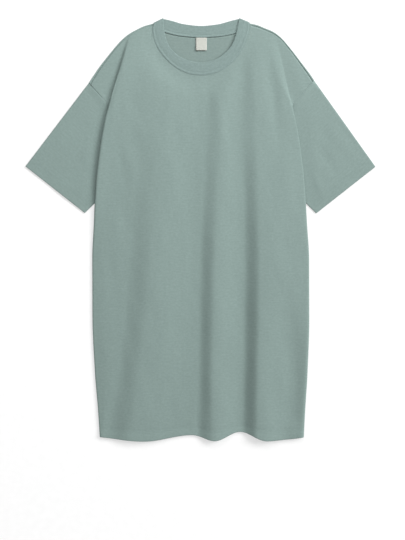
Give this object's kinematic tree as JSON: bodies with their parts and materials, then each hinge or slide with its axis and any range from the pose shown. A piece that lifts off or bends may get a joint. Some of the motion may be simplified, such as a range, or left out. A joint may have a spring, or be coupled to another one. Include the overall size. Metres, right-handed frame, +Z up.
{
  "type": "t-shirt dress",
  "caption": "Oversized short-sleeved jersey t-shirt dress with a rib crew neck, laid out flat on its back.",
  "frame": {"origin": "middle of the bounding box in X and Y, on the plane that the dress lies on", "axes": "+Y from the hem to the neck, +X to the wearer's left, +Z up from the surface, out of the front"},
  "size_m": [0.83, 1.0013, 0.0176],
  "materials": {
    "jersey": "soft matt single jersey, garment dyed sage green",
    "rib": "matt one-by-one rib in the same sage green",
    "ribbon": "smooth plain woven ribbon, off-white"
  },
  "bodies": {
    "root": {"front": "jersey", "back": "jersey", "sleeve_left": "jersey", "sleeve_right": "jersey", "neckband": "rib", "label": "ribbon"}
  },
  "joints": []
}
